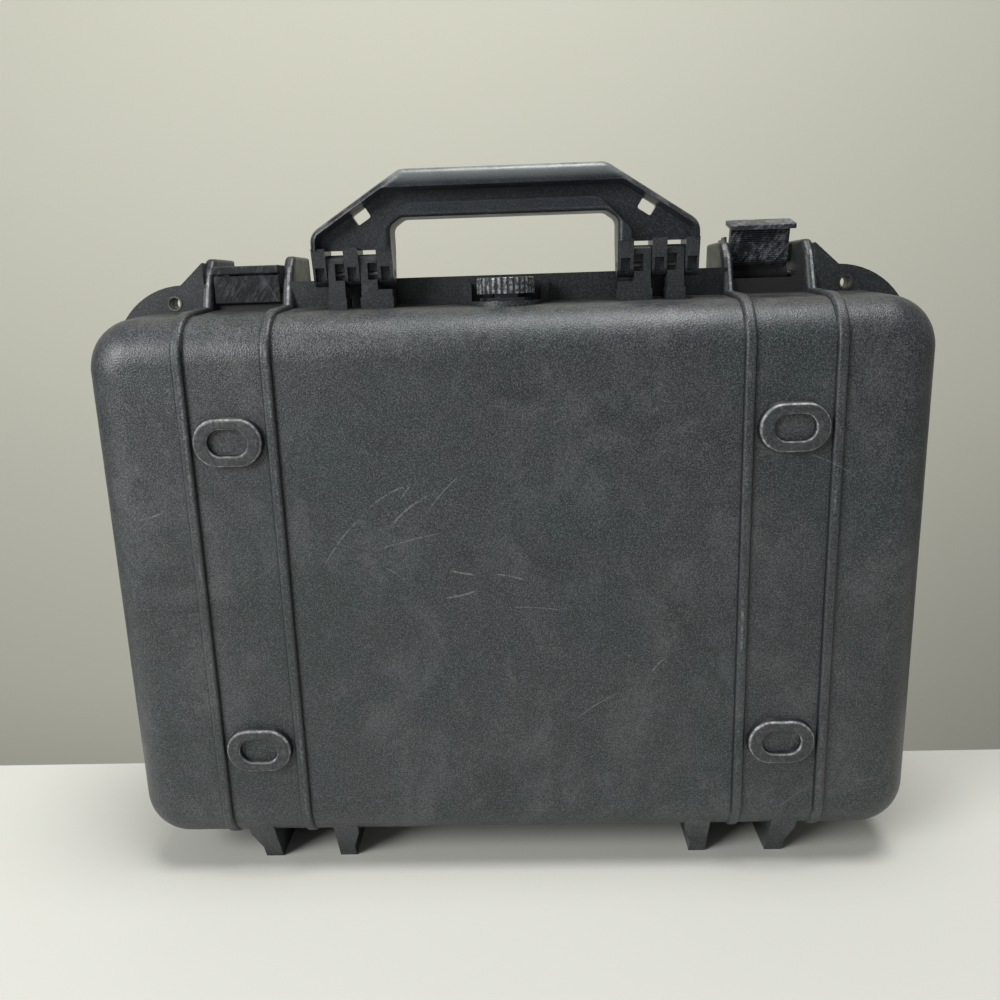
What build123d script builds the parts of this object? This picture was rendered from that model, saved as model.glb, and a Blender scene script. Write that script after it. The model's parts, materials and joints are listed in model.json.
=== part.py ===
"""Laptop hard case: two moulded shells on a pinned hinge, two draw latches, a folding
carry handle, a purge valve, a rim seal, foam and steel padlock sleeves.

The case stands upright on its hinge lugs, as it is carried: X runs across the width, Y from the
outer face of the base shell to the back of the lid, Z up to the handle. All sizes are in mm.
"""
from build123d import *
from math import cos, hypot, radians, sin
import os

os.makedirs("parts", exist_ok=True)

# ---------------------------------------------------------------- driving sizes
# Shells
rim_w = 458.0           # over the walls at the parting rim
rim_h = 314.6
draft_side = 1.5        # the walls lean in by this much from rim to outer face: left and right,
draft_up = 3.8          # top and bottom
face_corner = 26.0      # corner radius seen from the front, at the face
rim_corner = 30.0       # and at the rim
face_round = 24.0       # round between face and side walls
back_round = 21.8       # the same round on the lid
wall = 4.5
base_depth = 64.0
lid_depth = 48.0
seam = 0.6              # gap that the seal keeps between the rims
stand = 22.0            # height of the lower wall above the lugs' feet
touch = 0.05            # gap left between pressed or threaded parts

# Rim flange
flange_t = 6.0
flange_side = 2.0       # how far the flange stands out of the walls: sides,
flange_up = 14.6        # handle side
flange_down = 4.2       # and hinge side
flange_top_corner = 44.0
flange_low_corner = 30.0

# Rim seal: a ridge on the base rim faces a cord that lies in the lid's groove
ridge_inset = 2.2
ridge_t = 2.2
ridge_h = 2.0
groove_w = 4.8
groove_d = 4.0
groove_land = 2.1       # lid rim left inside and under the groove
cord_clear = 0.2
soft_clear = 0.3        # soft parts stay this far from what they do not belong to

# Ribs and latch guards
rib_w = 6.4
rib_proud = 2.5
rib_edge = 2.1
rib_side = 56.0         # centre of an outer rib inside the rim's side
bay_pitch = 47.0        # from the inner to the outer rib of a latch bay
rib_nub = 30.0          # a rib ends this far behind the face on the hinge side
guard_foot = 53.4       # where a guard leaves its rib, behind the base face
guard_up = 29.2         # guard above the rim wall
guard_step = 5.0        # drop of the guard's front corner below its top
guard_nose = 2.6        # its front corner is eased this far behind the front,
guard_nose_z = 4.0      # this far down
guard_round = 6.0
guard_back = 105.0
guard_tail = 4.0
guard_edge = 2.4
guard_tail_round = 9.0
gusset_w = 13.5
root = 14.0             # how deep outside features are rooted; the cavity trims them

# Ring feet on the base face
foot_l = 38.2
foot_h = 27.0
foot_proud = 5.0
foot_hole_l = 22.4
foot_hole_h = 14.8
foot_recess = 3.6
foot_spread = 90.0      # above and below the middle,
foot_drop = 1.0         # shifted down by this much
foot_taper = 9.0
foot_edge = 2.0
foot_hole_edge = 1.2

# Hinge
pin_r = 2.0
pin_fit = 0.05
pin_end = 0.5           # pins stop this far inside their bores
hinge_drop = 9.2        # hinge axis below the rim wall
knuckle_r = 7.5
knuckle_clear = 0.6
lug_gap = 0.4
lug_side = 80.5         # inner side of the outer base lug, inside the rim's side
lug_out_w = 10.5
lug_pitch = 36.0        # from there to the outer side of the inner base lug
lug_in_w = 10.0
lug_flare = 4.5
lid_lug_w = 11.0
lug_toe = 19.0          # toe of a base lug behind the face
lug_rise = 4.0          # where its sloping front meets the shell
lid_lug_toe = 8.0
lid_lug_rise = 5.0
lug_root_z = 10.0

# Handle
handle_depth = 42.0     # handle axis behind the base face
handle_up = 17.2        # handle axis above the rim wall
handle_x = 105.4        # outer side
handle_top_x = 55.2     # crown corner
handle_top = 53.5       # crown above the axis
handle_shoulder = 21.6  # side corner above the axis
handle_corner = 9.0
grip_x = 61.2           # finger opening
grip_top_x = 55.0
grip_top = 28.5
grip_shoulder = 24.2
grip_corner = 5.0
handle_t = 24.0
handle_edge = 4.6       # rounds along the outer edges
grip_edge = 2.8         # and around the grip
web_t = 5.0
bar_h = 9.5             # rim along the crown,
rim_out_w = 3.0         # down the outer sides,
rim_in_w = 7.0          # and around the grip
web_corner = 17.0       # the web's corners over the grip are cut back this far
web_round = 5.0
web_draft = 8.0
slot_top = 12.7
slot_run = 2.0          # the web's pockets run out into the slots
prong_r = 6.5
prong_top_t = 19.0
prong_in_w = 8.7
prong_mid_x = 83.9
prong_mid_w = 8.0
prong_out_w = 7.5
post_in_x = 74.9
post_out_x = 92.9
post_w = 9.0
post_t = 12.0
post_up = 10.3
post_round = 3.0
step_z = 8.6            # upper step of a post's foot above the rim wall
step_drop = 4.0
step_grow = 1.2
post_spread = 8.0       # inner foot widens towards the middle
pocket_w = 5.0          # cored pockets in posts and prongs
post_pocket_h = 9.0
post_pocket_up = 1.2    # middle of the pocket above the handle's axis
post_floor = 1.5        # its floor lies this far in front of the axis and bares the pin
prong_pocket_h = 7.4
prong_floor = 2.9
tag_hole_l = 8.6
tag_hole_w = 6.4
tag_hole_round = 1.3
tag_hole_x = 77.5
tag_hole_up = 30.4
tag_hole_turn = 32.0

# Purge valve
valve_depth = 41.0
valve_boss_r = 20.5
valve_boss_up = 1.6
valve_disc_r = 14.5
valve_disc_t = 1.8
valve_pad_r = 14.0
valve_pad_t = 1.6
stem_r = 7.0
vent_r = 4.0
neck_r = 9.0
neck_h = 7.8
cup_r = 6.5
cup_d = 2.0
membrane_t = 0.8
oring_r = 10.5
oring_t = 2.0
oring_h = 1.0
knob_r = 16.0
knob_h = 8.6
knob_gap = 2.2
neck_clear = 0.5        # the knob's bore is deeper than the neck by this much
knob_flutes = 30
flute_r = 1.0
knob_edge = 1.0
grip_bar_w = 5.0
grip_bar_l = 22.0
grip_bar_d = 1.4
nut_r = 12.5
nut_h = 5.0
thread_end = 1.5
fin_x = 21.8
fin_w = 4.6
fin_up = 11.0
fin_l = 12.0
fin_round = 2.1

# Draw latches: a hook turns on a pin between the lid's guards, a lever on the hook
latch_pin_depth = 88.0
latch_pin_up = 10.2
lever_pin_depth = 78.0
lever_pin_up = 18.7
lever_pin_r = 1.5
latch_clear = 1.6       # side gap to the guards
catch_up = 8.2          # bay flange above the rim wall
catch_depth = 60.3      # front of the bay flange
hook_front = 57.3
hook_t = 2.7
hook_low = 3.2
hook_high = 18.9
hook_edge = 0.8
arm_low = 9.7
arm_t = 4.5
arm_w = 34.4
barrel_r = 5.0
eye_r = 4.0
eye_w = 18.0
groove_pitch = 1.25
groove_count = 17
groove_cut = 0.6
groove_start = 62.0
hook_swing = 75.0       # hook's travel from closed to open
cover_front = 55.8
cover_low = 20.7
cover_t = 3.5
cover_lip = 1.2
cover_lip_t = 2.2
cover_edge = 0.9
cover_heel = 3.4        # the cover ends in a heel that rolls over the hook's arm
cover_heel_t = 0.6
lever_eye_r = 4.2
lever_eye_w = 5.7
lever_eye_gap = 0.3
lever_pin_inset = 0.4
cheek_t = 1.2
cheek_r = 17.4          # cheeks stay inside this radius, to swing clear of the hook
cheek_low = 9.4         # cheek below the lever pin, in front
cheek_deep = 10.6       # and at the back
cheek_step = 6.6
cheek_back = 3.0
lever_swing = 105.0

# Padlock sleeves
padlock_side = 36.4     # inside the rim's side
padlock_down = 10.2     # below the flange's top edge
padlock_r = 3.3
sleeve_t = 0.9
sleeve_proud = 0.4

# Foam
foam_back = 1.0
bay_w = 392.0
bay_h = 262.0
bay_d = 38.0
bay_corner = 12.0
finger_w = 96.0
finger_h = 24.0
finger_d = 30.0
nut_room = 3.0
lid_foam_t = 37.0
lid_foam_round = 15.0

# ---------------------------------------------------------------- derived places
face_w = rim_w - 2 * draft_side
face_h = rim_h - 2 * draft_up
z_mid = stand + face_h / 2
rim_top = z_mid + rim_h / 2
rim_low = z_mid - rim_h / 2
flange_top = rim_top + flange_up
flange_low = rim_low - flange_down
guard_top = rim_top + guard_up
rib_out = rim_w / 2 - rib_side
rib_in = rib_out - bay_pitch
lug_out = rim_w / 2 - lug_side
lug_in = lug_out - lug_pitch
padlock_x = rim_w / 2 - padlock_side
latch_x = (rib_in + rib_out) / 2
bay_gap = rib_out - rib_in - rib_w
latch_w = bay_gap - 2 * latch_clear


def swung(dy, dz, angle):
    """A (Y, Z) offset after a turn that lifts the front up and over to the back."""
    c = cos(radians(angle))
    s = sin(radians(angle))
    return dy * c + dz * s, dz * c - dy * s


# Depths behind the base face become Y. The part is centred on its whole depth, which runs from
# the tips of the ring feet to the tail of the open lever, lying back to front.
open_link = swung(lever_pin_depth - latch_pin_depth, lever_pin_up - latch_pin_up, hook_swing)
tail_depth = latch_pin_depth + open_link[0] + lever_pin_depth - cover_front
face_y = (foot_proud - tail_depth) / 2
part_y = face_y + base_depth
lid_y = part_y + seam
back_y = lid_y + lid_depth
hinge_y = part_y + seam / 2
hinge_z = rim_low - hinge_drop
handle_y = face_y + handle_depth
handle_z = rim_top + handle_up
latch_y = face_y + latch_pin_depth
latch_z = rim_top + latch_pin_up
lever_y = face_y + lever_pin_depth
lever_z = rim_top + lever_pin_up
valve_y = face_y + valve_depth
padlock_z = flange_top - padlock_down
sleeve_r = padlock_r + sleeve_t
pin_bore = pin_r + pin_fit
lid_lug_in = lug_in + lug_gap
lid_lug_out = lug_out - lug_gap - lid_lug_w
ring_out = ridge_inset + (ridge_t - groove_w) / 2
ring_in = ring_out + groove_w
land_in = ring_in + groove_land


def base_top(depth):
    """Height of the base's handle-side wall at a depth behind the face."""
    return z_mid + (face_h + (rim_h - face_h) * depth / base_depth) / 2


def front_plane(y):
    """An upright plane at y, drawn as (X, Z); extruding goes towards the base face."""
    return Plane.XZ.offset(-y)


boss_z = base_top(valve_depth) + valve_boss_up
pad_z = base_top(valve_depth) - wall - valve_pad_t


# ---------------------------------------------------------------- shared forms
def tub(y_rim, y_face, inset, edge):
    """Drafted tub from the rim plane to the face plane, inset all round."""
    with BuildPart() as form:
        with BuildSketch(front_plane(y_rim)):
            with Locations((0, z_mid)):
                RectangleRounded(rim_w - 2 * inset, rim_h - 2 * inset, rim_corner - inset)
        with BuildSketch(front_plane(y_face)):
            with Locations((0, z_mid)):
                RectangleRounded(face_w - 2 * inset, face_h - 2 * inset, face_corner - inset)
        loft(ruled=True)
        face = form.faces().sort_by(Axis.Y)[0 if y_face < y_rim else -1]
        fillet(face.edges(), edge)
    return form.part


def shell_rib(y_rim, y_face, edge):
    """One rib, from the rim over the handle side and the face to a nub on the hinge side."""
    sign = -1 if y_face < y_rim else 1
    low = z_mid - face_h / 2
    with BuildPart() as rib:
        with BuildSketch(Plane.YZ) as side:
            with BuildLine():
                Polyline(
                    (y_rim, rim_top + rib_proud),
                    (y_face + sign * rib_proud, z_mid + face_h / 2 + rib_proud),
                    (y_face + sign * rib_proud, low - rib_proud),
                    (y_face - sign * rib_nub, low - rib_proud),
                    (y_face - sign * (rib_nub + rib_proud), low + rib_proud),
                    (y_rim, low + rib_proud),
                    close=True,
                )
            make_face()
            corners = side.vertices().filter_by(
                lambda v: abs(v.X - y_face - sign * rib_proud) < touch)
            fillet(corners, edge + rib_proud)
        extrude(amount=rib_w / 2, both=True)
        outer = rib.faces().filter_by(Axis.X).edges().filter_by(
            lambda e: abs(e.center().Y - y_rim) > touch and abs(e.center().Z - low) > 2 * rib_proud
            or e.center().Z < low)
        fillet(outer, rib_edge)
    return rib.part


def rim_flange(y_rim, sign):
    """Rim flange with a deep handle side; sign is the side of the rim plane it lies on."""
    with BuildPart() as plate:
        with BuildSketch(front_plane(y_rim)) as outline:
            with Locations((0, (flange_top + flange_low) / 2)):
                Rectangle(rim_w + 2 * flange_side, flange_top - flange_low)
            fillet(outline.vertices().group_by(Axis.Y)[-1], flange_top_corner)
            fillet(outline.vertices().group_by(Axis.Y)[0], flange_low_corner)
            # latch bays: the flange drops between the guards
            with Locations((-latch_x, rim_top + catch_up + flange_up),
                           (latch_x, rim_top + catch_up + flange_up)):
                Rectangle(bay_gap + rib_w, 2 * flange_up, mode=Mode.SUBTRACT)
        extrude(amount=-sign * flange_t)
    return plate.part


def rim_ring(y, outer_inset, inner_inset, amount):
    """A band that follows the rim between two insets from the outside of the wall."""
    with BuildPart() as band:
        with BuildSketch(front_plane(y)):
            with Locations((0, z_mid)):
                RectangleRounded(rim_w - 2 * outer_inset, rim_h - 2 * outer_inset,
                                 rim_corner - outer_inset)
                RectangleRounded(rim_w - 2 * inner_inset, rim_h - 2 * inner_inset,
                                 rim_corner - inner_inset, mode=Mode.SUBTRACT)
        extrude(amount=amount)
    return band.part


def gussets(y_rim, sign):
    """The two webs that brace the outer guards against the flange."""
    x0 = rib_out + rib_w / 4
    with BuildPart() as webs:
        with BuildSketch(front_plane(y_rim)):
            with BuildLine():
                Polyline(
                    (x0, rim_top),
                    (x0 + gusset_w + flange_up, rim_top),
                    (x0 + gusset_w, flange_top),
                    (x0, guard_top - guard_step / 2),
                    close=True,
                )
            make_face()
        extrude(amount=-sign * flange_t)
        mirror(about=Plane.YZ)
    return webs.part


def bar_x(y, z, radius, x0, x1):
    """A round bar along X between two stations, in either order."""
    with BuildPart() as bar:
        with BuildSketch(Plane.YZ.offset(min(x0, x1))):
            with Locations((y, z)):
                Circle(radius)
        extrude(amount=abs(x1 - x0))
    return bar.part


def side_view(points, x0, x1):
    """A plate with the given (Y, Z) outline, between two stations on X."""
    with BuildPart() as plate:
        with BuildSketch(Plane.YZ.offset(x0)):
            with BuildLine():
                Polyline(*points, close=True)
            make_face()
        extrude(amount=x1 - x0)
    return plate.part


def base_lug(x0, x1, flare0, flare1):
    """Hinge lug of the base from x0 to x1, wider at its root."""
    with BuildPart() as body:
        with BuildSketch(Plane.YZ.offset(x0 - flare0)):
            with BuildLine():
                Polyline(
                    (face_y + lug_rise, stand + lug_root_z),
                    (face_y + lug_toe, 0),
                    (part_y - knuckle_r, 0),
                    (part_y, hinge_z - knuckle_r),
                    (part_y, rim_low + wall / 2),
                    close=True,
                )
            make_face()
            with Locations((hinge_y, hinge_z)):
                Circle(knuckle_r)
        extrude(amount=x1 + flare1 - x0 + flare0)
        with BuildSketch(front_plane(face_y)):
            with BuildLine():
                Polyline(
                    (x0 - flare0, stand + 2 * lug_root_z),
                    (x0 - flare0, stand),
                    (x0, hinge_z),
                    (x0, 0),
                    (x1, 0),
                    (x1, hinge_z),
                    (x1 + flare1, stand),
                    (x1 + flare1, stand + 2 * lug_root_z),
                    close=True,
                )
            make_face()
        extrude(amount=-2 * base_depth, mode=Mode.INTERSECT)
    return body.part


def lid_lug(x0):
    """Hinge lug of the lid, with a long flat foot."""
    with BuildPart() as body:
        with BuildSketch(Plane.YZ.offset(x0)):
            with BuildLine():
                Polyline(
                    (back_y - lid_lug_rise, stand + lug_root_z),
                    (back_y - lid_lug_toe, 0),
                    (lid_y + knuckle_r, 0),
                    (lid_y, hinge_z - knuckle_r),
                    (lid_y, rim_low + wall / 2),
                    close=True,
                )
            make_face()
            with Locations((hinge_y, hinge_z)):
                Circle(knuckle_r)
        extrude(amount=lid_lug_w)
    return body.part


def base_guard():
    """The part of a latch guard that rises on the base's rib."""
    with BuildPart() as fin:
        with BuildSketch(Plane.YZ) as side:
            with BuildLine():
                Polyline(
                    (face_y + guard_foot, rim_top - root),
                    (face_y + guard_foot, base_top(guard_foot) + rib_proud),
                    (part_y - guard_nose, guard_top - guard_step - guard_nose_z),
                    (part_y, guard_top - guard_step),
                    (part_y, rim_top - root),
                    close=True,
                )
            make_face()
            nose = side.vertices().sort_by(Axis.Y)[-2]
            fillet(nose, guard_round)
        extrude(amount=rib_w / 2, both=True)
        sloped = fin.faces().filter_by(Axis.X).edges().filter_by(
            lambda e: rim_top < e.center().Z and e.center().Y < part_y - touch)
        fillet(sloped, guard_edge)
    return fin.part


def lid_guard():
    """Latch guard on the lid: a thick fin from the rim to the back, rounded at its tail."""
    with BuildPart() as fin:
        with BuildSketch(Plane.YZ) as side:
            with BuildLine():
                Polyline(
                    (lid_y, rim_top - root),
                    (lid_y, guard_top - guard_step),
                    (lid_y + guard_step, guard_top),
                    (face_y + guard_back, guard_top),
                    (face_y + guard_back + guard_tail, rim_top - root),
                    close=True,
                )
            make_face()
            tops = side.vertices().group_by(Axis.Y)[-1].sort_by(Axis.X)
            fillet(tops[0], guard_round)
            fillet(tops[-1], guard_tail_round)
        extrude(amount=rib_w / 2, both=True)
        crest = fin.faces().filter_by(Axis.X).edges().filter_by(
            lambda e: rim_top < e.center().Z and e.center().Y > lid_y + touch
            or e.center().Y > face_y + guard_back)
        fillet(crest, guard_edge)
    return fin.part


def ring_foot():
    """Oval ring foot on the base face."""
    with BuildPart() as foot:
        with BuildSketch(front_plane(face_y)):
            SlotOverall(foot_l, foot_h)
        extrude(amount=foot_proud, taper=foot_taper)
        tip = foot.faces().sort_by(Axis.Y)[0]
        fillet(tip.edges(), foot_edge)
        with BuildSketch(front_plane(face_y - foot_proud)):
            SlotOverall(foot_hole_l, foot_hole_h)
        extrude(amount=-foot_recess, taper=foot_taper, mode=Mode.SUBTRACT)
        ring = foot.faces().sort_by(Axis.Y)[0]
        fillet(ring.inner_wires()[0].edges(), foot_hole_edge)
    return foot.part


def handle_post():
    """One ear that carries the handle pin, cored from the front, centred on X = 0."""
    with BuildPart() as post:
        with BuildSketch(Plane.XY.offset(rim_top - root)):
            with Locations((0, handle_y)):
                Rectangle(post_w, post_t)
        extrude(amount=root + handle_up + post_up)
        crown = post.faces().sort_by(Axis.Z)[-1].edges().filter_by(Axis.X)
        fillet(crown, post_round)
        with BuildSketch(front_plane(handle_y - post_t / 2)):
            with Locations(((pocket_w - post_w) / 2, handle_z + post_pocket_up)):
                Rectangle(pocket_w, post_pocket_h)
        extrude(amount=post_floor - post_t / 2, mode=Mode.SUBTRACT)
    return post.part


def post_foot(x0, x1):
    """Stepped block at the foot of a post, between x0 and x1."""
    with BuildPart() as block:
        with BuildSketch(Plane.XY.offset(rim_top - root)):
            with Locations(((x0 + x1) / 2, handle_y)):
                Rectangle(x1 - x0, post_t + step_grow)
        extrude(amount=root + step_z)
        with BuildSketch(Plane.XY.offset(rim_top - root)):
            with Locations(((x0 + x1) / 2, handle_y)):
                Rectangle(x1 - x0 + step_grow, post_t + 3 * step_grow)
        extrude(amount=root + step_z - step_drop)
    return block.part


# ---------------------------------------------------------------- base shell
base_tub = tub(part_y, face_y, 0, face_round)
base_hollow = tub(part_y, face_y + wall, wall, face_round - wall)
base_rib = shell_rib(part_y, face_y, face_round)
guard_front = base_guard()
one_foot = ring_foot()
one_post = handle_post()
base_flange = rim_flange(part_y, -1)
base_gussets = gussets(part_y, -1)
base_ridge = rim_ring(part_y, ridge_inset, ridge_inset + ridge_t, -ridge_h)

with BuildPart() as base_outside:
    add(base_tub)
    add(base_flange)
    add(base_gussets)
    # the bay flange stands back a little, so that the hook lies in front of it
    for x in (-latch_x, latch_x):
        with BuildSketch(front_plane(face_y)):
            with Locations((x, rim_top + flange_up / 2)):
                Rectangle(bay_gap + rib_w, flange_up)
        extrude(amount=-catch_depth, mode=Mode.SUBTRACT)
    with Locations((-rib_out, 0), (-rib_in, 0), (rib_in, 0), (rib_out, 0)):
        add(base_rib)
        add(guard_front)
    for z in (z_mid - foot_drop - foot_spread, z_mid - foot_drop + foot_spread):
        with Locations((-latch_x, 0, z), (latch_x, 0, z)):
            add(one_foot)

# everything that stands on the right half and is mirrored to the left
with BuildPart() as base_side:
    add(base_lug(lug_out, lug_out + lug_out_w, 0, lug_flare))
    add(base_lug(lug_in - lug_in_w, lug_in, lug_flare, 0))
    with Locations((post_in_x, 0), (post_out_x, 0)):
        add(one_post)
    add(post_foot(post_in_x - post_w / 2 - post_spread, post_in_x + post_w / 2))
    add(post_foot(post_out_x - post_w / 2, post_out_x + post_w / 2))
    # fin beside the valve
    with BuildSketch(Plane.XY.offset(rim_top - root)):
        with Locations((fin_x, part_y - flange_t / 2 - fin_l / 2)):
            Rectangle(fin_w, fin_l)
    extrude(amount=root + fin_up)
    tip = base_side.faces().filter_by(Axis.Z).filter_by(
        lambda f: abs(f.center().Z - rim_top - fin_up) < touch)
    fillet(tip.edges().filter_by(Axis.Y), fin_round)

with BuildPart() as base_shell:
    add(base_outside)
    add(base_side)
    mirror(base_side.part, about=Plane.YZ)
    with BuildSketch(Plane.XY.offset(rim_top - root)):
        with Locations((0, valve_y)):
            Circle(valve_boss_r)
    extrude(amount=boss_z - rim_top + root)
    add(base_hollow, mode=Mode.SUBTRACT)
    # flat pad for the valve's nut, inside
    with BuildSketch(Plane.XY.offset(pad_z)):
        with Locations((0, valve_y)):
            Circle(valve_pad_r)
    extrude(amount=boss_z - pad_z)
    with Locations((0, valve_y, boss_z)):
        Hole(stem_r + touch, depth=boss_z - pad_z)
    add(base_ridge)
    # bores for hinge and handle pins, and room for the lid's knuckles
    for side in (-1, 1):
        add(bar_x(hinge_y, hinge_z, pin_bore, side * lug_out / 2, side * rim_w / 2),
            mode=Mode.SUBTRACT)
        add(bar_x(handle_y, handle_z, pin_bore, side * grip_x, side * handle_x),
            mode=Mode.SUBTRACT)
        for x in (lid_lug_in, lid_lug_out):
            add(bar_x(hinge_y, hinge_z, knuckle_r + knuckle_clear, side * (x - lug_gap),
                      side * (x + lid_lug_w + lug_gap)), mode=Mode.SUBTRACT)
    with Locations(front_plane(part_y - flange_t)):
        with Locations((-padlock_x, padlock_z), (padlock_x, padlock_z)):
            Hole(sleeve_r + touch, depth=flange_t)
base_shell.part.label = "base_shell"
export_step(base_shell.part, "parts/base_shell.step")

# ---------------------------------------------------------------- lid shell
lid_tub = tub(lid_y, back_y, 0, back_round)
lid_hollow = tub(lid_y, back_y - wall, wall, back_round - wall)
lid_rib = shell_rib(lid_y, back_y - rib_proud, back_round)
guard_rear = lid_guard()
lid_flange = rim_flange(lid_y, 1)
lid_gussets = gussets(lid_y, 1)
lid_ledge = rim_ring(lid_y, wall / 2, land_in, -(groove_d + groove_land))
lid_groove = rim_ring(lid_y, ring_out, ring_in, -groove_d)

with BuildPart() as lid_side:
    add(lid_lug(lid_lug_in))
    add(lid_lug(lid_lug_out))

with BuildPart() as lid_shell:
    add(lid_tub)
    add(lid_flange)
    add(lid_gussets)
    with Locations((-rib_out, 0), (-rib_in, 0), (rib_in, 0), (rib_out, 0)):
        add(lid_rib)
        add(guard_rear)
    add(lid_side)
    mirror(lid_side.part, about=Plane.YZ)
    add(lid_hollow, mode=Mode.SUBTRACT)
    add(lid_ledge)
    add(lid_groove, mode=Mode.SUBTRACT)
    for side in (-1, 1):
        add(bar_x(hinge_y, hinge_z, pin_bore, side * grip_x, side * rim_w / 2),
            mode=Mode.SUBTRACT)
        add(bar_x(hinge_y, hinge_z, knuckle_r + knuckle_clear, side * (lug_out - lug_gap),
                  side * (lug_out + lug_out_w + lug_flare + lug_gap)), mode=Mode.SUBTRACT)
        add(bar_x(hinge_y, hinge_z, knuckle_r + knuckle_clear, side * (lug_in + lug_gap),
                  side * (lug_in - lug_in_w - lug_flare - lug_gap)), mode=Mode.SUBTRACT)
        add(bar_x(latch_y, latch_z, pin_bore, side * (rib_in - rib_w), side * (rib_out + rib_w)),
            mode=Mode.SUBTRACT)
    with Locations(front_plane(lid_y)):
        with Locations((-padlock_x, padlock_z), (padlock_x, padlock_z)):
            Hole(sleeve_r + touch, depth=flange_t)
lid_shell.part.label = "lid_shell"
export_step(lid_shell.part, "parts/lid_shell.step")

# ---------------------------------------------------------------- seal and foam
cord_front = ridge_h - seam + soft_clear
with BuildPart() as lid_gasket:
    add(rim_ring(lid_y + cord_front, ring_out + cord_clear, ring_in - cord_clear,
                 -(groove_d - cord_front)))
lid_gasket.part.label = "lid_gasket"
export_step(lid_gasket.part, "parts/lid_gasket.step")

with BuildPart() as base_foam:
    add(tub(part_y - foam_back, face_y + wall + soft_clear, wall + soft_clear, face_round - wall))
    with BuildSketch(front_plane(part_y - foam_back)):
        with Locations((0, z_mid)):
            RectangleRounded(bay_w, bay_h, bay_corner)
    extrude(amount=bay_d, mode=Mode.SUBTRACT)
    # finger scoops in both long sides of the bay
    with BuildSketch(front_plane(part_y - foam_back)):
        with Locations((0, z_mid - bay_h / 2), (0, z_mid + bay_h / 2)):
            SlotOverall(finger_w, finger_h)
    extrude(amount=finger_d, mode=Mode.SUBTRACT)
    # notch that passes the valve's nut and pad
    with BuildSketch(front_plane(part_y)):
        with Locations((0, rim_top - wall)):
            Rectangle(2 * (valve_pad_r + nut_room),
                      2 * (valve_pad_t + nut_h + thread_end + nut_room))
    extrude(amount=base_depth - valve_depth + valve_pad_r + nut_room, mode=Mode.SUBTRACT)
base_foam.part.label = "base_foam"
export_step(base_foam.part, "parts/base_foam.step")

lid_foam_y = back_y - wall - soft_clear
with BuildPart() as lid_foam:
    add(tub(lid_foam_y - lid_foam_t, lid_foam_y, land_in + soft_clear, lid_foam_round))
lid_foam.part.label = "lid_foam"
export_step(lid_foam.part, "parts/lid_foam.step")


# ---------------------------------------------------------------- carry handle
def arch(foot, side, shoulder, crown_x, crown, grow):
    """Corners of an arch with straight legs, sloping shoulders and a flat crown, grown evenly."""
    slope = hypot(side - crown_x, crown - shoulder)
    nx = (crown - shoulder) / slope
    nz = (side - crown_x) / slope
    leg = handle_z + shoulder + grow * (1 - nx) / nz
    top_x = crown_x + grow * (1 - nz) / nx
    top = handle_z + crown + grow
    side += grow
    foot += handle_z
    return [(side, foot), (side, leg), (top_x, top), (-top_x, top), (-side, leg), (-side, foot)]


# the rim is deeper along the crown than down the sides: same slopes, lower crown
bar_low = handle_top - (bar_h - rim_out_w)
bar_x_end = handle_x - (handle_x - handle_top_x) * (bar_low - handle_shoulder) / (
    handle_top - handle_shoulder)
web_in_x = grip_x + rim_in_w
web_in_top = grip_top + rim_in_w

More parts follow.
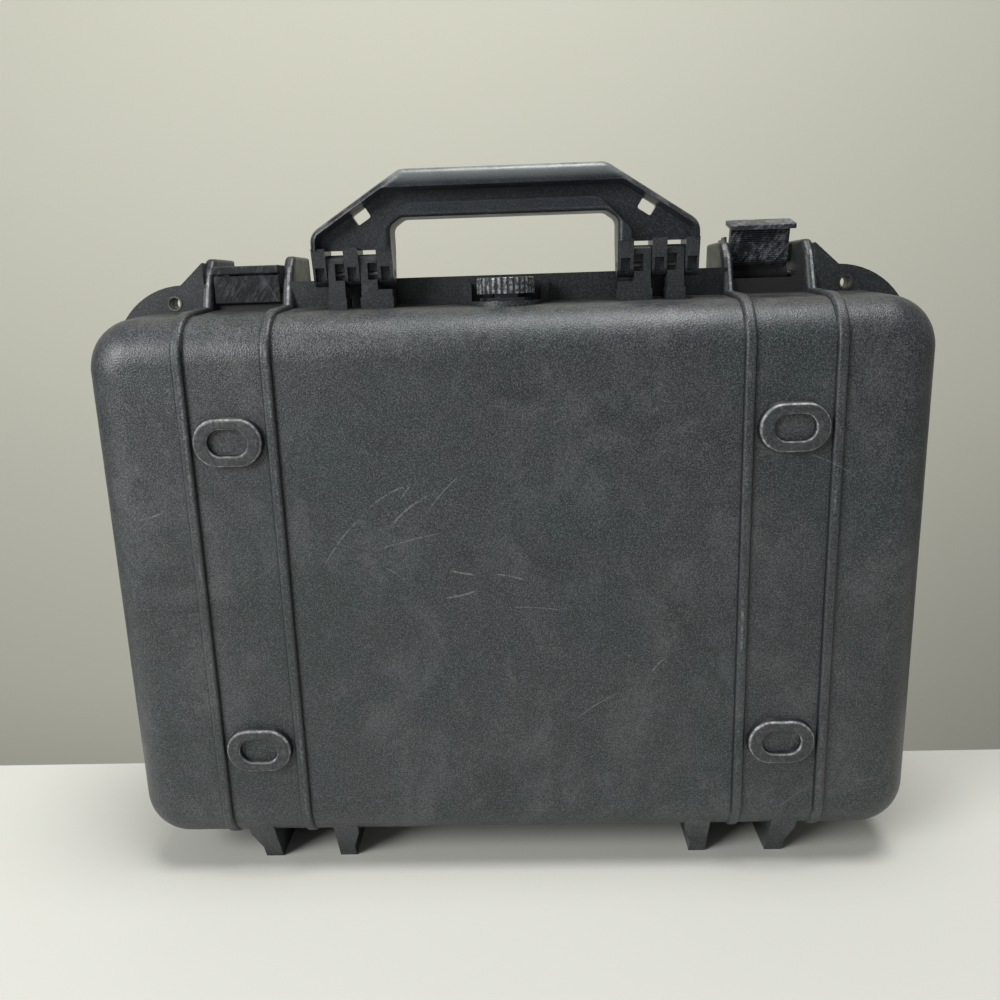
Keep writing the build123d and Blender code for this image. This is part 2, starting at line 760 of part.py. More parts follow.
with BuildPart() as handle:
    with BuildSketch(front_plane(handle_y)) as arch_face:
        with BuildLine():
            Polyline(*arch(slot_top, handle_x, handle_shoulder, handle_top_x, handle_top, 0),
                     close=True)
        make_face()
        fillet(arch_face.vertices().filter_by(lambda v: v.Y > handle_z + slot_top + 1),
               handle_corner)
        with BuildLine():
            Polyline(*arch(slot_top, grip_x, grip_shoulder, grip_top_x, grip_top, 0), close=True)
        make_face(mode=Mode.SUBTRACT)
        fillet(arch_face.vertices().filter_by(
            lambda v: abs(v.X) < grip_x + 1 and handle_z + slot_top + 1 < v.Y
            and v.Y < handle_z + grip_top + 1), grip_corner)
    extrude(amount=handle_t / 2, both=True)
    edges = handle.faces().filter_by(Axis.Y).edges().filter_by(
        lambda e: e.center().Z > handle_z + slot_top + 1)
    grip_rims = edges.filter_by(
        lambda e: abs(e.center().X) < grip_x + 1 and e.center().Z < handle_z + grip_top + 1)
    fillet(edges - grip_rims, handle_edge)
    fillet(grip_rims, grip_edge)
    # web pockets, front and back, drafted like a bead on either side
    for way in (-1, 1):
        with BuildSketch(front_plane(handle_y + way * handle_t / 2)) as web:
            with BuildLine():
                Polyline(*arch(slot_top - slot_run, handle_x, handle_shoulder, bar_x_end,
                               bar_low, -rim_out_w), close=True)
            make_face()
            with BuildLine():
                Polyline(*arch(slot_top - slot_run, web_in_x, web_in_top - web_corner,
                               web_in_x - web_corner, web_in_top, 0), close=True)
            make_face(mode=Mode.SUBTRACT)
            fillet(web.vertices().filter_by(lambda v: v.Y > handle_z + slot_top + 1), web_round)
        extrude(amount=way * (handle_t - web_t) / 2, taper=web_draft, mode=Mode.SUBTRACT)
    # holes for a name tag, through the web
    for side in (-1, 1):
        with BuildSketch(front_plane(handle_y + handle_t / 2)):
            with Locations(Location((side * tag_hole_x, handle_z + tag_hole_up),
                                    -side * tag_hole_turn)):
                RectangleRounded(tag_hole_l, tag_hole_w, tag_hole_round)
        extrude(amount=handle_t, mode=Mode.SUBTRACT)
    # three prongs on each leg hold the pin between the base's posts
    for x, width in ((grip_x + prong_in_w / 2, prong_in_w), (prong_mid_x, prong_mid_w),
                     (handle_x - prong_out_w / 2, prong_out_w)):
        for side in (-1, 1):
            with BuildSketch(Plane.YZ.offset(side * x)):
                with Locations((handle_y, handle_z)):
                    Circle(prong_r)
                with BuildLine():
                    Polyline(
                        (handle_y - prong_r, handle_z),
                        (handle_y - prong_top_t / 2, handle_z + slot_top + 1),
                        (handle_y + prong_top_t / 2, handle_z + slot_top + 1),
                        (handle_y + prong_r, handle_z),
                        close=True,
                    )
                make_face()
            extrude(amount=width / 2, both=True)
            with BuildSketch(front_plane(handle_y - prong_top_t / 2)):
                with Locations((side * x, handle_z)):
                    Rectangle(pocket_w, prong_pocket_h)
            extrude(amount=prong_floor - prong_top_t / 2, mode=Mode.SUBTRACT)
    for side in (-1, 1):
        add(bar_x(handle_y, handle_z, pin_bore, side * (grip_x - 1), side * (handle_x + 1)),
            mode=Mode.SUBTRACT)
handle.part.label = "handle"
export_step(handle.part, "parts/handle.step")

for side, name in ((-1, "left"), (1, "right")):
    with BuildPart() as handle_pin:
        add(bar_x(handle_y, handle_z, pin_r, side * (grip_x + pin_end),
                  side * (handle_x - pin_end)))
    handle_pin.part.label = f"handle_pin_{name}"
    export_step(handle_pin.part, f"parts/handle_pin_{name}.step")

    with BuildPart() as hinge_pin:
        add(bar_x(hinge_y, hinge_z, pin_r, side * (lug_in - lug_in_w + pin_end),
                  side * (lug_out + lug_out_w - pin_end)))
    hinge_pin.part.label = f"hinge_pin_{name}"
    export_step(hinge_pin.part, f"parts/hinge_pin_{name}.step")

# ---------------------------------------------------------------- draw latches
arm_z = rim_top + arm_low
cover_z = rim_top + cover_low
hook_y = face_y + hook_front
cover_y = face_y + cover_front

with BuildPart() as hook_closed:
    add(side_view([(hook_y, arm_z), (latch_y, arm_z), (latch_y, arm_z + arm_t),
                   (hook_y, arm_z + arm_t)], -arm_w / 2, arm_w / 2))
    add(bar_x(latch_y, latch_z, barrel_r, -arm_w / 2, arm_w / 2))
    # front wall that draws the base's flange, with its lip
    add(side_view([(hook_y, rim_top + hook_low), (hook_y + hook_t, rim_top + hook_low),
                   (hook_y + hook_t, rim_top + hook_high), (hook_y, rim_top + hook_high)],
                  -latch_w / 2, latch_w / 2))
    lips = hook_closed.edges().filter_by(Axis.X).filter_by(
        lambda e: abs(e.center().Y - hook_y) < touch)
    fillet(lips, hook_edge)
    # eyes for the lever pin
    add(side_view([(lever_y - eye_r, arm_z + arm_t / 2), (lever_y + eye_r, arm_z + arm_t / 2),
                   (lever_y + eye_r, lever_z), (lever_y - eye_r, lever_z)],
                  -eye_w / 2, eye_w / 2))
    add(bar_x(lever_y, lever_z, eye_r, -eye_w / 2, eye_w / 2))
    # fine grooves across the inner side of the arm
    for i in range(groove_count):
        groove_y = face_y + groove_start + i * groove_pitch
        with BuildSketch(Plane.YZ):
            with BuildLine():
                Polyline(
                    (groove_y - groove_cut / 2, arm_z),
                    (groove_y, arm_z + groove_cut),
                    (groove_y + groove_cut / 2, arm_z),
                    close=True,
                )
            make_face()
        extrude(amount=arm_w / 2, both=True, mode=Mode.SUBTRACT)
    add(bar_x(latch_y, latch_z, pin_bore, -arm_w, arm_w), mode=Mode.SUBTRACT)
    add(bar_x(lever_y, lever_z, lever_pin_r + pin_fit, -arm_w, arm_w), mode=Mode.SUBTRACT)

with BuildPart() as lever_closed:
    add(side_view([(cover_y, cover_z - cover_lip), (cover_y + cover_lip_t, cover_z - cover_lip),
                   (cover_y + cover_lip_t, cover_z), (lever_y + cover_heel, cover_z),
                   (lever_y + cover_heel, cover_z + cover_heel_t),
                   (lever_y + cover_edge, cover_z + cover_t), (cover_y, cover_z + cover_t)],
                  -latch_w / 2, latch_w / 2))
    rounds = lever_closed.edges().filter_by(Axis.X).filter_by(
        lambda e: e.center().Z > cover_z + cover_t - touch
        or abs(e.center().Y - cover_y) < touch)
    fillet(rounds, cover_edge)
    # window that passes the hook's eyes
    add(side_view([(lever_y - eye_r - lever_eye_gap, cover_z), (lever_y + 2 * eye_r, cover_z),
                   (lever_y + 2 * eye_r, cover_z + 2 * cover_t),
                   (lever_y - eye_r - lever_eye_gap, cover_z + 2 * cover_t)],
                  -eye_w / 2 - lever_eye_gap, eye_w / 2 + lever_eye_gap), mode=Mode.SUBTRACT)
    for side in (-1, 1):
        # cheeks beside the arm
        inner = latch_w / 2 - cheek_t
        with BuildSketch(Plane.YZ.offset(min(side * inner, side * latch_w / 2))):
            with Locations((lever_y, lever_z)):
                Circle(cheek_r)
            with BuildLine():
                Polyline(
                    (lever_y - cheek_r, cover_z + cover_t / 2),
                    (lever_y - cheek_r, lever_z - cheek_low),
                    (lever_y - cheek_step, lever_z - cheek_low),
                    (lever_y - cheek_step, lever_z - cheek_deep),
                    (lever_y + cheek_back, lever_z - cheek_deep),
                    (lever_y + cover_heel, lever_z),
                    (lever_y + cover_heel, cover_z + cover_heel_t),
                    (lever_y - cheek_back, cover_z + cover_t / 2),
                    close=True,
                )
            make_face(mode=Mode.INTERSECT)
        extrude(amount=cheek_t)
        # eyes that hold the lever pin, beside the hook's
        eye_0 = side * (eye_w / 2 + lever_eye_gap)
        eye_1 = eye_0 + side * lever_eye_w
        add(bar_x(lever_y, lever_z, lever_eye_r, eye_0, eye_1))
        add(side_view([(lever_y - lever_eye_r, lever_z), (lever_y + cover_heel, lever_z),
                       (lever_y + cover_heel, cover_z + cover_heel_t),
                       (lever_y - lever_eye_r, cover_z + cover_t / 2)],
                      min(eye_0, eye_1), max(eye_0, eye_1)))
    add(bar_x(lever_y, lever_z, lever_pin_r + pin_fit, -arm_w / 2, arm_w / 2),
        mode=Mode.SUBTRACT)

with BuildPart() as lever_pin_closed:
    pin_half = eye_w / 2 + lever_eye_gap + lever_eye_w - lever_pin_inset
    add(bar_x(lever_y, lever_z, lever_pin_r, -pin_half, pin_half))

with BuildPart() as latch_pin_middle:
    pin_half = bay_gap / 2 + rib_w - pin_end
    add(bar_x(latch_y, latch_z, pin_r, -pin_half, pin_half))

# The left latch is shut; the right one stands open, its lever thrown right back.
latch_axis = Axis((0, latch_y, latch_z), (-1, 0, 0))
lever_axis = Axis((0, lever_y, lever_z), (-1, 0, 0))
for side, name, hook_turn, lever_turn in ((-1, "left", 0, 0),
                                          (1, "right", hook_swing, lever_swing)):
    place = Location((side * latch_x, 0, 0))
    with BuildPart() as latch_hook:
        add(hook_closed.part.rotate(latch_axis, hook_turn).moved(place))
    latch_hook.part.label = f"{name}_latch_hook"
    export_step(latch_hook.part, f"parts/{name}_latch_hook.step")

    with BuildPart() as latch_lever:
        turned_lever = lever_closed.part.rotate(lever_axis, lever_turn)
        add(turned_lever.rotate(latch_axis, hook_turn).moved(place))
    latch_lever.part.label = f"{name}_latch_lever"
    export_step(latch_lever.part, f"parts/{name}_latch_lever.step")

    with BuildPart() as lever_pin:
        add(lever_pin_closed.part.rotate(latch_axis, hook_turn).moved(place))
    lever_pin.part.label = f"{name}_lever_pin"
    export_step(lever_pin.part, f"parts/{name}_lever_pin.step")

    with BuildPart() as latch_pin:
        add(latch_pin_middle.part.moved(place))
    latch_pin.part.label = f"{name}_latch_pin"
    export_step(latch_pin.part, f"parts/{name}_latch_pin.step")

# ---------------------------------------------------------------- purge valve
disc_z = boss_z + valve_disc_t
neck_z = disc_z + neck_h
knob_z = disc_z + knob_gap
with BuildPart() as valve_body:
    with BuildSketch(Plane.XY.offset(boss_z)):
        with Locations((0, valve_y)):
            Circle(valve_disc_r)
    extrude(amount=valve_disc_t)
    with BuildSketch(Plane.XY.offset(disc_z)):
        with Locations((0, valve_y)):
            Circle(neck_r)
    extrude(amount=neck_h)
    with BuildSketch(Plane.XY.offset(boss_z)):
        with Locations((0, valve_y)):
            Circle(stem_r)
    extrude(amount=-(boss_z - pad_z + nut_h + thread_end))
    with Locations((0, valve_y, neck_z)):
        CounterBoreHole(vent_r, cup_r, cup_d)
    # groove for the sealing ring, under the disc
    with BuildSketch(Plane.XY.offset(boss_z)):
        with Locations((0, valve_y)):
            Circle(oring_r + oring_t / 2)
            Circle(oring_r - oring_t / 2, mode=Mode.SUBTRACT)
    extrude(amount=oring_h, mode=Mode.SUBTRACT)
valve_body.part.label = "valve_body"
export_step(valve_body.part, "parts/valve_body.step")

with BuildPart() as valve_seal:
    with BuildSketch(Plane.XY.offset(boss_z)):
        with Locations((0, valve_y)):
            Circle(oring_r + oring_t / 2 - touch)
            Circle(oring_r - oring_t / 2 + touch, mode=Mode.SUBTRACT)
    extrude(amount=oring_h)
valve_seal.part.label = "valve_seal"
export_step(valve_seal.part, "parts/valve_seal.step")

with BuildPart() as valve_membrane:
    with BuildSketch(Plane.XY.offset(neck_z - cup_d)):
        with Locations((0, valve_y)):
            Circle(cup_r - touch)
    extrude(amount=membrane_t)
valve_membrane.part.label = "valve_membrane"
export_step(valve_membrane.part, "parts/valve_membrane.step")

with BuildPart() as valve_nut:
    with BuildSketch(Plane.XY.offset(pad_z)):
        with Locations((0, valve_y)):
            RegularPolygon(nut_r, 6)
            Circle(stem_r + touch, mode=Mode.SUBTRACT)
    extrude(amount=-nut_h)
valve_nut.part.label = "valve_nut"
export_step(valve_nut.part, "parts/valve_nut.step")

with BuildPart() as valve_knob:
    with BuildSketch(Plane.XY.offset(knob_z)):
        with Locations((0, valve_y)):
            Circle(knob_r)
    extrude(amount=knob_h)
    fillet(valve_knob.faces().sort_by(Axis.Z)[-1].edges(), knob_edge)
    with BuildSketch(Plane.XY.offset(knob_z)):
        with Locations((0, valve_y)):
            with PolarLocations(knob_r + flute_r / 3, knob_flutes):
                Circle(flute_r)
    extrude(amount=knob_h, mode=Mode.SUBTRACT)
    with BuildSketch(Plane.XY.offset(knob_z + knob_h)):
        with Locations((-grip_bar_w, valve_y), (grip_bar_w, valve_y)):
            Rectangle(grip_bar_w, grip_bar_l)
    extrude(amount=-grip_bar_d, mode=Mode.SUBTRACT)
    with BuildSketch(Plane.XY.offset(knob_z)):
        with Locations((0, valve_y)):
            Circle(neck_r + pin_fit)
    extrude(amount=neck_h + neck_clear - knob_gap, mode=Mode.SUBTRACT)
valve_knob.part.label = "valve_knob"
export_step(valve_knob.part, "parts/valve_knob.step")

# ---------------------------------------------------------------- padlock sleeves
for side, name in ((-1, "left"), (1, "right")):
    for y_outer, y_rim, shell in ((part_y - flange_t - sleeve_proud, part_y, "base"),
                                  (lid_y + flange_t + sleeve_proud, lid_y, "lid")):
        with BuildPart() as sleeve:
            with BuildSketch(front_plane(y_rim)):
                with Locations((side * padlock_x, padlock_z)):
                    Circle(sleeve_r)
                    Circle(padlock_r, mode=Mode.SUBTRACT)
            extrude(amount=y_rim - y_outer)
        sleeve.part.label = f"{shell}_sleeve_{name}"
        export_step(sleeve.part, f"parts/{shell}_sleeve_{name}.step")
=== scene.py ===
"""Laptop hard case, worn and closed, with its left latch shut and its right latch open."""
import json
import bpy
import numpy as np
from mathutils import Matrix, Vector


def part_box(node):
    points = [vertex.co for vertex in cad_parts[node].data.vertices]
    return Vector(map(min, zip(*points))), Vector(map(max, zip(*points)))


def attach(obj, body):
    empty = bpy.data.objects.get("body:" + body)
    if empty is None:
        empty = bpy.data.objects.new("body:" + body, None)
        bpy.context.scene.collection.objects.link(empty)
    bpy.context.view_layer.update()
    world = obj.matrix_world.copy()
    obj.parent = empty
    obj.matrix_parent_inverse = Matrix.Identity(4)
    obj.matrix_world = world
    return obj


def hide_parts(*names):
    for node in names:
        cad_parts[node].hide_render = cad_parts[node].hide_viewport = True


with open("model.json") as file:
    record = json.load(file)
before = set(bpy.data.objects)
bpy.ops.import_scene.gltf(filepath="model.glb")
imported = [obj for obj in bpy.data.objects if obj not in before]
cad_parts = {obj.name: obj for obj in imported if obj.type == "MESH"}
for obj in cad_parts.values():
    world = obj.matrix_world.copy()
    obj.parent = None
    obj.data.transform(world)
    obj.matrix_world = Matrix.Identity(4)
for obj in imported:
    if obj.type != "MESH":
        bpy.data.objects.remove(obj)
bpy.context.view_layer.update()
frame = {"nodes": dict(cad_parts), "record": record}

MM = 0.001

# ------------------------------------------------------------ places, in metres
foot_proud = 5.0 * MM       # ring feet in front of the base face
base_depth = 64.0 * MM      # base face to the parting plane
stand = 22.0 * MM           # lower edge of the face above the floor
face_half_h = 153.5 * MM    # half the height of the face,
rim_half_h = 157.3 * MM     # and of the rim behind it
guard_rise = 29.2 * MM      # latch guards above the rim
guard_foot = 53.4 * MM      # where a guard leaves its rib, behind the face
valve_depth = 41.0 * MM     # axis of the valve behind the face
rib_in = 126.0 * MM         # the two ribs on each side of the middle
rib_out = 173.0 * MM

face_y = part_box("base_shell")[0][1] + foot_proud
part_y = face_y + base_depth
middle_z = stand + face_half_h
rim_top = middle_z + rim_half_h
guard_top = rim_top + guard_rise


# ------------------------------------------------------------ a small bench for node materials
class Finish:
    """One material under construction; every method adds nodes and returns their output."""

    def __init__(self, name):
        self.mat = bpy.data.materials.new(name)
        self.mat.use_nodes = True
        self.tree = self.mat.node_tree
        self.tree.nodes.clear()
        out = self.tree.nodes.new("ShaderNodeOutputMaterial")
        self.shader = self.tree.nodes.new("ShaderNodeBsdfPrincipled")
        self.tree.links.new(self.shader.outputs[0], out.inputs[0])
        self.place = self.tree.nodes.new("ShaderNodeTexCoord").outputs["Object"]
        self.x, self.y, self.z = self.add("ShaderNodeSeparateXYZ", [self.place]).outputs
        normal = self.tree.nodes.new("ShaderNodeNewGeometry").outputs["Normal"]
        facing = self.add("ShaderNodeSeparateXYZ", [normal])
        self.facing_x, self.facing_y, self.facing_z = facing.outputs

    def add(self, kind, inputs=(), **settings):
        n = self.tree.nodes.new(kind)
        for key, value in settings.items():
            setattr(n, key, value)
        for i, value in enumerate(inputs):
            self.put(n.inputs[i], value)
        return n

    def put(self, socket, value):
        """Link or set one socket; None leaves it alone."""
        if value is None:
            return
        if isinstance(value, bpy.types.NodeSocket):
            self.tree.links.new(value, socket)
        elif isinstance(value, tuple) and len(value) == 3 and socket.type == "RGBA":
            socket.default_value = (*value, 1.0)
        else:
            socket.default_value = value

    def calc(self, op, a, b=None, c=None):
        return self.add("ShaderNodeMath", [a, b, c], operation=op).outputs[0]

    def stretch(self, sx, sy, sz, turn=(0.0, 0.0, 0.0)):
        """The place, turned and then drawn out this many times along its axes."""
        return self.add("ShaderNodeMapping", [self.place, (0.0, 0.0, 0.0), turn, (sx, sy, sz)],
                        vector_type="TEXTURE").outputs[0]

    def noise(self, scale, detail=2.0, rough=0.5, at=None, twist=0.0):
        """Fractal noise of this many waves per metre."""
        n = self.tree.nodes.new("ShaderNodeTexNoise")
        self.put(n.inputs["Vector"], at or self.place)
        n.inputs["Scale"].default_value = scale
        n.inputs["Detail"].default_value = detail
        n.inputs["Roughness"].default_value = rough
        n.inputs["Distortion"].default_value = twist
        return n.outputs[0]

    def cells(self, scale, at=None):
        """Distance to the nearest of scattered points, this many per metre."""
        n = self.tree.nodes.new("ShaderNodeTexVoronoi")
        self.put(n.inputs["Vector"], at or self.place)
        n.inputs["Scale"].default_value = scale
        return n.outputs["Distance"]

    def span(self, value, low, high, to_low=0.0, to_high=1.0):
        """value from low..high carried smoothly to to_low..to_high."""
        n = self.tree.nodes.new("ShaderNodeMapRange")
        n.interpolation_type = "SMOOTHSTEP"
        for i, v in enumerate((value, low, high, to_low, to_high)):
            self.put(n.inputs[i], v)
        return n.outputs[0]

    def ahead(self, start, end):
        """0 to 1 from start to end, in millimetres in front of the base face."""
        return self.span(self.y, face_y - start * MM, face_y - end * MM)

    def over_rim(self, start, end):
        """0 to 1 from start to end, in millimetres above the top of the rim."""
        return self.span(self.z, rim_top + start * MM, rim_top + end * MM)

    def band(self, value, centre, half, soft):
        """1 where value is within half of centre, falling to 0 over soft."""
        off = self.calc("ABSOLUTE", self.calc("SUBTRACT", value, centre))
        return self.span(off, half, half + soft, 1.0, 0.0)

    def blend(self, amount, a, b):
        """From colour a to colour b by amount; 6, 7 and 2 are the node's colour sockets."""
        n = self.tree.nodes.new("ShaderNodeMix")
        n.data_type = "RGBA"
        self.put(n.inputs[0], amount)
        self.put(n.inputs[6], a)
        self.put(n.inputs[7], b)
        return n.outputs[2]

    def times(self, *values):
        result = values[0]
        for v in values[1:]:
            result = self.calc("MULTIPLY", result, v)
        return result

    def highest(self, *values):
        result = values[0]
        for v in values[1:]:
            result = self.calc("MAXIMUM", result, v)
        return result

    def relief(self, height, depth, strength=1.0, under=None):
        """Bump of height times depth metres, on top of another bump."""
        n = self.tree.nodes.new("ShaderNodeBump")
        n.inputs["Strength"].default_value = strength
        n.inputs["Distance"].default_value = depth
        self.put(n.inputs["Height"], height)
        self.put(n.inputs["Normal"], under)
        return n.outputs[0]

    def specks(self, colour, grain, pale, pale_share, dark, dark_share):
        """Pale specks on the peaks of the grain and dark pits in its hollows."""
        colour = self.blend(self.times(self.span(grain, 0.50, 0.66), pale_share), colour, pale)
        return self.blend(self.times(self.span(grain, 0.50, 0.36), dark_share), colour, dark)

    def scratches(self, fine, long, turn, patch_scale, share):
        """Straight hairlines: the peaks of a noise drawn out along one axis, in scattered patches."""
        lines = self.noise(fine, 1.0, 0.5, self.stretch(1.0, 1.0, long, turn), 0.15)
        line = self.span(lines, 0.66, 0.76)
        patch = self.span(self.noise(patch_scale, 2.0), 1.0 - share, 1.08 - share)
        return self.times(line, patch)

    def stroke(self, x0, z0, x1, z1, sag, width):
        """A curved scratch on the outer face, from (x0, z0) to (x1, z1) in millimetres: 1 on the
        parabola that bows out by sag between its ends, 0 beyond its width, and fading to its ends."""
        run, rise = (x1 - x0) * MM, (z1 - z0) * MM
        length = float(np.hypot(run, rise))
        ux, uz = run / length, rise / length
        along = self.reach_along((ux, 0.0, uz), (x0 * ux + z0 * uz) * MM)
        across = self.reach_along((-uz, 0.0, ux), (z0 * ux - x0 * uz) * MM)
        bow = self.times(along, self.calc("SUBTRACT", length, along), 4.0 * sag * MM / length ** 2)
        line = self.band(self.calc("SUBTRACT", across, bow), 0.0, width * 0.25 * MM, width * 0.5 * MM)
        return self.times(line, self.band(along, length / 2, length * 0.30, length * 0.22))

    def reach_along(self, way, start):
        """How far the place lies along a direction, less start."""
        dot = self.add("ShaderNodeVectorMath", [self.place, way], operation="DOT_PRODUCT").outputs[1]
        return self.calc("SUBTRACT", dot, start)

    def finish(self, colour, rough, normal=None, **constants):
        """Join the outputs to the shader and set its constants, named with _ for each space."""
        self.put(self.shader.inputs["Base Color"], colour)
        self.put(self.shader.inputs["Roughness"], rough)
        self.put(self.shader.inputs["Normal"], normal)
        for name, value in constants.items():
            self.shader.inputs[name.replace("_", " ")].default_value = value
        return self.mat


# ------------------------------------------------------------ shells
RUBBED = (0.200, 0.210, 0.215)
# near black, for painted shade deep in the latch bays
BAY_SHADE = (0.003, 0.003, 0.0035)

# Scratches on the outer face in millimetres: ends (x, z) and (x, z), sag and width
SCRATCHES = (
    (-65.5, 215.9, -43.4, 232.7, 1.6, 0.9),
    (-83.6, 219.2, -52.5, 239.0, 3.0, 0.7),
    (-105.0, 191.2, -78.7, 223.0, 2.4, 0.6),
    (-75.2, 202.0, -37.6, 211.3, 0.8, 0.5),
    (-34.5, 190.1, -20.2, 187.1, -0.6, 1.0),
    (-11.2, 187.2, 7.2, 183.0, 0.7, 0.8),
    (-38.5, 173.9, -19.5, 178.1, -0.8, 0.9),
    (-59.8, 229.8, -53.3, 238.5, 0.4, 0.8),
    (-204.6, 222.3, -189.4, 226.7, -0.4, 0.8),
    (76.3, 126.7, 84.4, 135.6, 0.9, 0.8),
    (157.4, 249.7, 186.2, 234.3, 1.8, 0.5),
    (-0.7, 167.5, 28.3, 164.8, 0.9, 0.5),
    (-45.2, 223.0, -26.7, 243.2, 1.0, 0.6),
    (-72.9, 193.9, -57.0, 181.9, 0.8, 0.5),
    (33.0, 98.6, 58.7, 115.2, 1.2, 0.5),
)


def clouded(f, outer):
    """Plain colour of the shells: blacker away from the outer face (cleaner plastic, and painted
    shade), greyed on the outer face, and clouded there in green, pale and dark."""
    clean_and_shaded, greyed = (0.011, 0.013, 0.015), (0.026, 0.028, 0.031)
    green, pale, dark = (0.015, 0.026, 0.025), (0.060, 0.063, 0.066), (0.010, 0.013, 0.014)
    # away from the outer face the colour is blacker: cleaner plastic there, and painted shade
    colour = f.blend(outer, clean_and_shaded, greyed)
    mottle = f.span(f.noise(15.0, 5.0, 0.66), 0.44, 0.62)
    colour = f.blend(f.times(mottle, f.span(outer, 0.0, 1.0, 0.10, 0.80)), colour, green)
    cloud = f.span(f.noise(26.0, 6.0, 0.72, f.stretch(1.0, 1.0, 1.4), 0.6), 0.46, 0.68)
    colour = f.blend(f.times(cloud, outer, 0.80), colour, pale)
    tilted = f.stretch(1.3, 1.0, 1.0, (0.0, 0.6, 0.0))
    smudge = f.span(f.noise(11.0, 6.0, 0.74, tilted, 1.0), 0.52, 0.66)
    return f.blend(f.times(smudge, outer, 0.72), colour, dark)


def scratched(f, colour, outer):
    """Soft scuffs, hairlines and the longer scratches of the outer face.
    Returns the colour and where the lines are."""
    hairline, deep = (0.210, 0.218, 0.220), (0.220, 0.230, 0.232)
    scuff = f.times(f.span(f.noise(85.0, 5.0, 0.75), 0.56, 0.72),
                    f.span(f.noise(9.0, 2.0), 0.50, 0.64))
    colour = f.blend(f.times(scuff, 0.20), colour, RUBBED)
    fine = f.highest(f.scratches(900.0, 55.0, (0.0, 0.95, 0.0), 7.0, 0.40),
                     f.scratches(1100.0, 40.0, (0.0, -0.55, 0.0), 9.0, 0.38),
                     f.scratches(1000.0, 70.0, (0.0, 1.45, 0.0), 6.0, 0.36))
    colour = f.blend(f.times(fine, outer, 0.42), colour, hairline)
    broken = f.span(f.noise(420.0, 4.0, 0.7), 0.34, 0.60)
    strokes = f.highest(*[f.stroke(*ends) for ends in SCRATCHES])
    long = f.times(strokes, broken, f.ahead(-6.0, -2.0))
    colour = f.blend(f.times(long, 0.46), colour, deep)
    return colour, f.highest(fine, long)


def guard_highlight_edges(f):
    """1 on the front edges of the four latch guards, which lean back from the rim upwards, where a painted
    highlight with some wear goes.
    """
    low_z, high_z = rim_top - 1.0 * MM, guard_top - 9.0 * MM
    low_y, high_y = face_y + guard_foot, part_y - 2.6 * MM
    lean = (high_y - low_y) / (high_z - low_z)
    front = f.calc("SUBTRACT", f.y, f.calc("MULTIPLY_ADD", f.z, lean, low_y - lean * low_z))
    # each guard's rib, and its highlight's offset from the rib and half width in millimetres
    guards = ((-rib_out, 0.4, 0.5), (-rib_in, 0.4, 0.5), (rib_in, 1.0, 0.4), (rib_out, 0.4, 0.4))
    edges = [f.band(f.x, rib + off * MM, half * MM, 0.5 * MM) for rib, off, half in guards]
    return f.times(f.band(front, 0.0, 1.6 * MM, 0.8 * MM), f.highest(*edges), f.over_rim(0.0, 2.0),
                   f.span(f.z, guard_top - 5 * MM, guard_top - 8 * MM))


def wear_and_painted_light(f, colour):
    """Wear on whatever stands proud, with painted light: streaks along the ribs, painted shade on the
    walls and bright rims on the ring feet, and a painted highlight with wear on the guards' front edges."""
    foot_wall_shade, crest_dark = (0.005, 0.006, 0.007), (0.013, 0.015, 0.017)
    rim_pale, guard_highlight = (0.330, 0.342, 0.345), (0.360, 0.376, 0.384)
    patchy = f.span(f.noise(330.0, 5.0, 0.75), 0.44, 0.66)
    streaky = f.span(f.noise(60.0, 4.0, 0.7, f.stretch(1.0, 1.0, 3.0)), 0.46, 0.66)
    side = f.calc("ABSOLUTE", f.x)
    rib = f.highest(*[f.band(side, x - 0.6 * MM, 0.3 * MM, 0.8 * MM) for x in (rib_in, rib_out)])
    lean = (rim_half_h - face_half_h) / base_depth
    upper_wall = f.calc("MULTIPLY_ADD", f.y, lean, middle_z + face_half_h - face_y * lean)
    above = f.calc("SUBTRACT", f.z, upper_wall)
    proud = f.highest(f.ahead(1.5, 2.3), f.span(above, 1.5 * MM, 2.3 * MM))
    foot_wall = f.times(f.span(f.facing_y, -0.94, -0.62), f.ahead(-0.1, 0.5))
    foot_crest = f.ahead(2.6, 4.6)
    foot_rim = f.times(f.ahead(3.0, 4.0), f.ahead(4.9, 4.5))
    # painted shade on the walls of the ring feet
    colour = f.blend(f.times(foot_wall, 0.85), colour, foot_wall_shade)
    colour = f.blend(f.times(rib, proud, streaky, patchy, 0.70), colour, RUBBED)
    colour = f.blend(f.times(foot_crest, 0.55), colour, crest_dark)
    colour = f.blend(f.times(foot_crest, patchy, 0.16), colour, RUBBED)
    rim = f.times(foot_rim, f.calc("MULTIPLY_ADD", patchy, 0.70, 0.30), 0.95)
    colour = f.blend(rim, colour, rim_pale)
    # painted highlight, with some wear, along the guards' front edges
    guard = f.times(guard_highlight_edges(f), f.calc("MULTIPLY_ADD", patchy, 0.6, 0.4), 0.95)
    return f.blend(guard, colour, guard_highlight)


def dust_and_bay_shade(f, colour):
    """Brown dust on level places and on the flanks of guards and posts, and painted shade deep in the
    latch bays. Returns the colour and where the dust and the painted shade are."""
    dust = (0.085, 0.072, 0.053)
    level = f.span(f.facing_z, 0.72, 1.0)
    flank = f.times(f.span(f.calc("ABSOLUTE", f.facing_x), 0.75, 0.95), f.over_rim(-2.0, 2.0))
    settled = f.times(f.highest(level, f.times(flank, 0.7)),
                      f.span(f.noise(70.0, 6.0, 0.78), 0.42, 0.68))
    colour = f.blend(f.times(settled, 0.50), colour, dust)
    side = f.calc("ABSOLUTE", f.x)
    between_ribs = f.band(side, (rib_in + rib_out) / 2, 19.0 * MM, 1.6 * MM)
    bay = f.times(between_ribs, f.ahead(-44.0, -52.0), f.over_rim(-6.0, -1.0))
    # painted shade: near black deep in the latch bays
    colour = f.blend(f.times(bay, 0.90), colour, BAY_SHADE)
    return colour, f.highest(settled, bay)


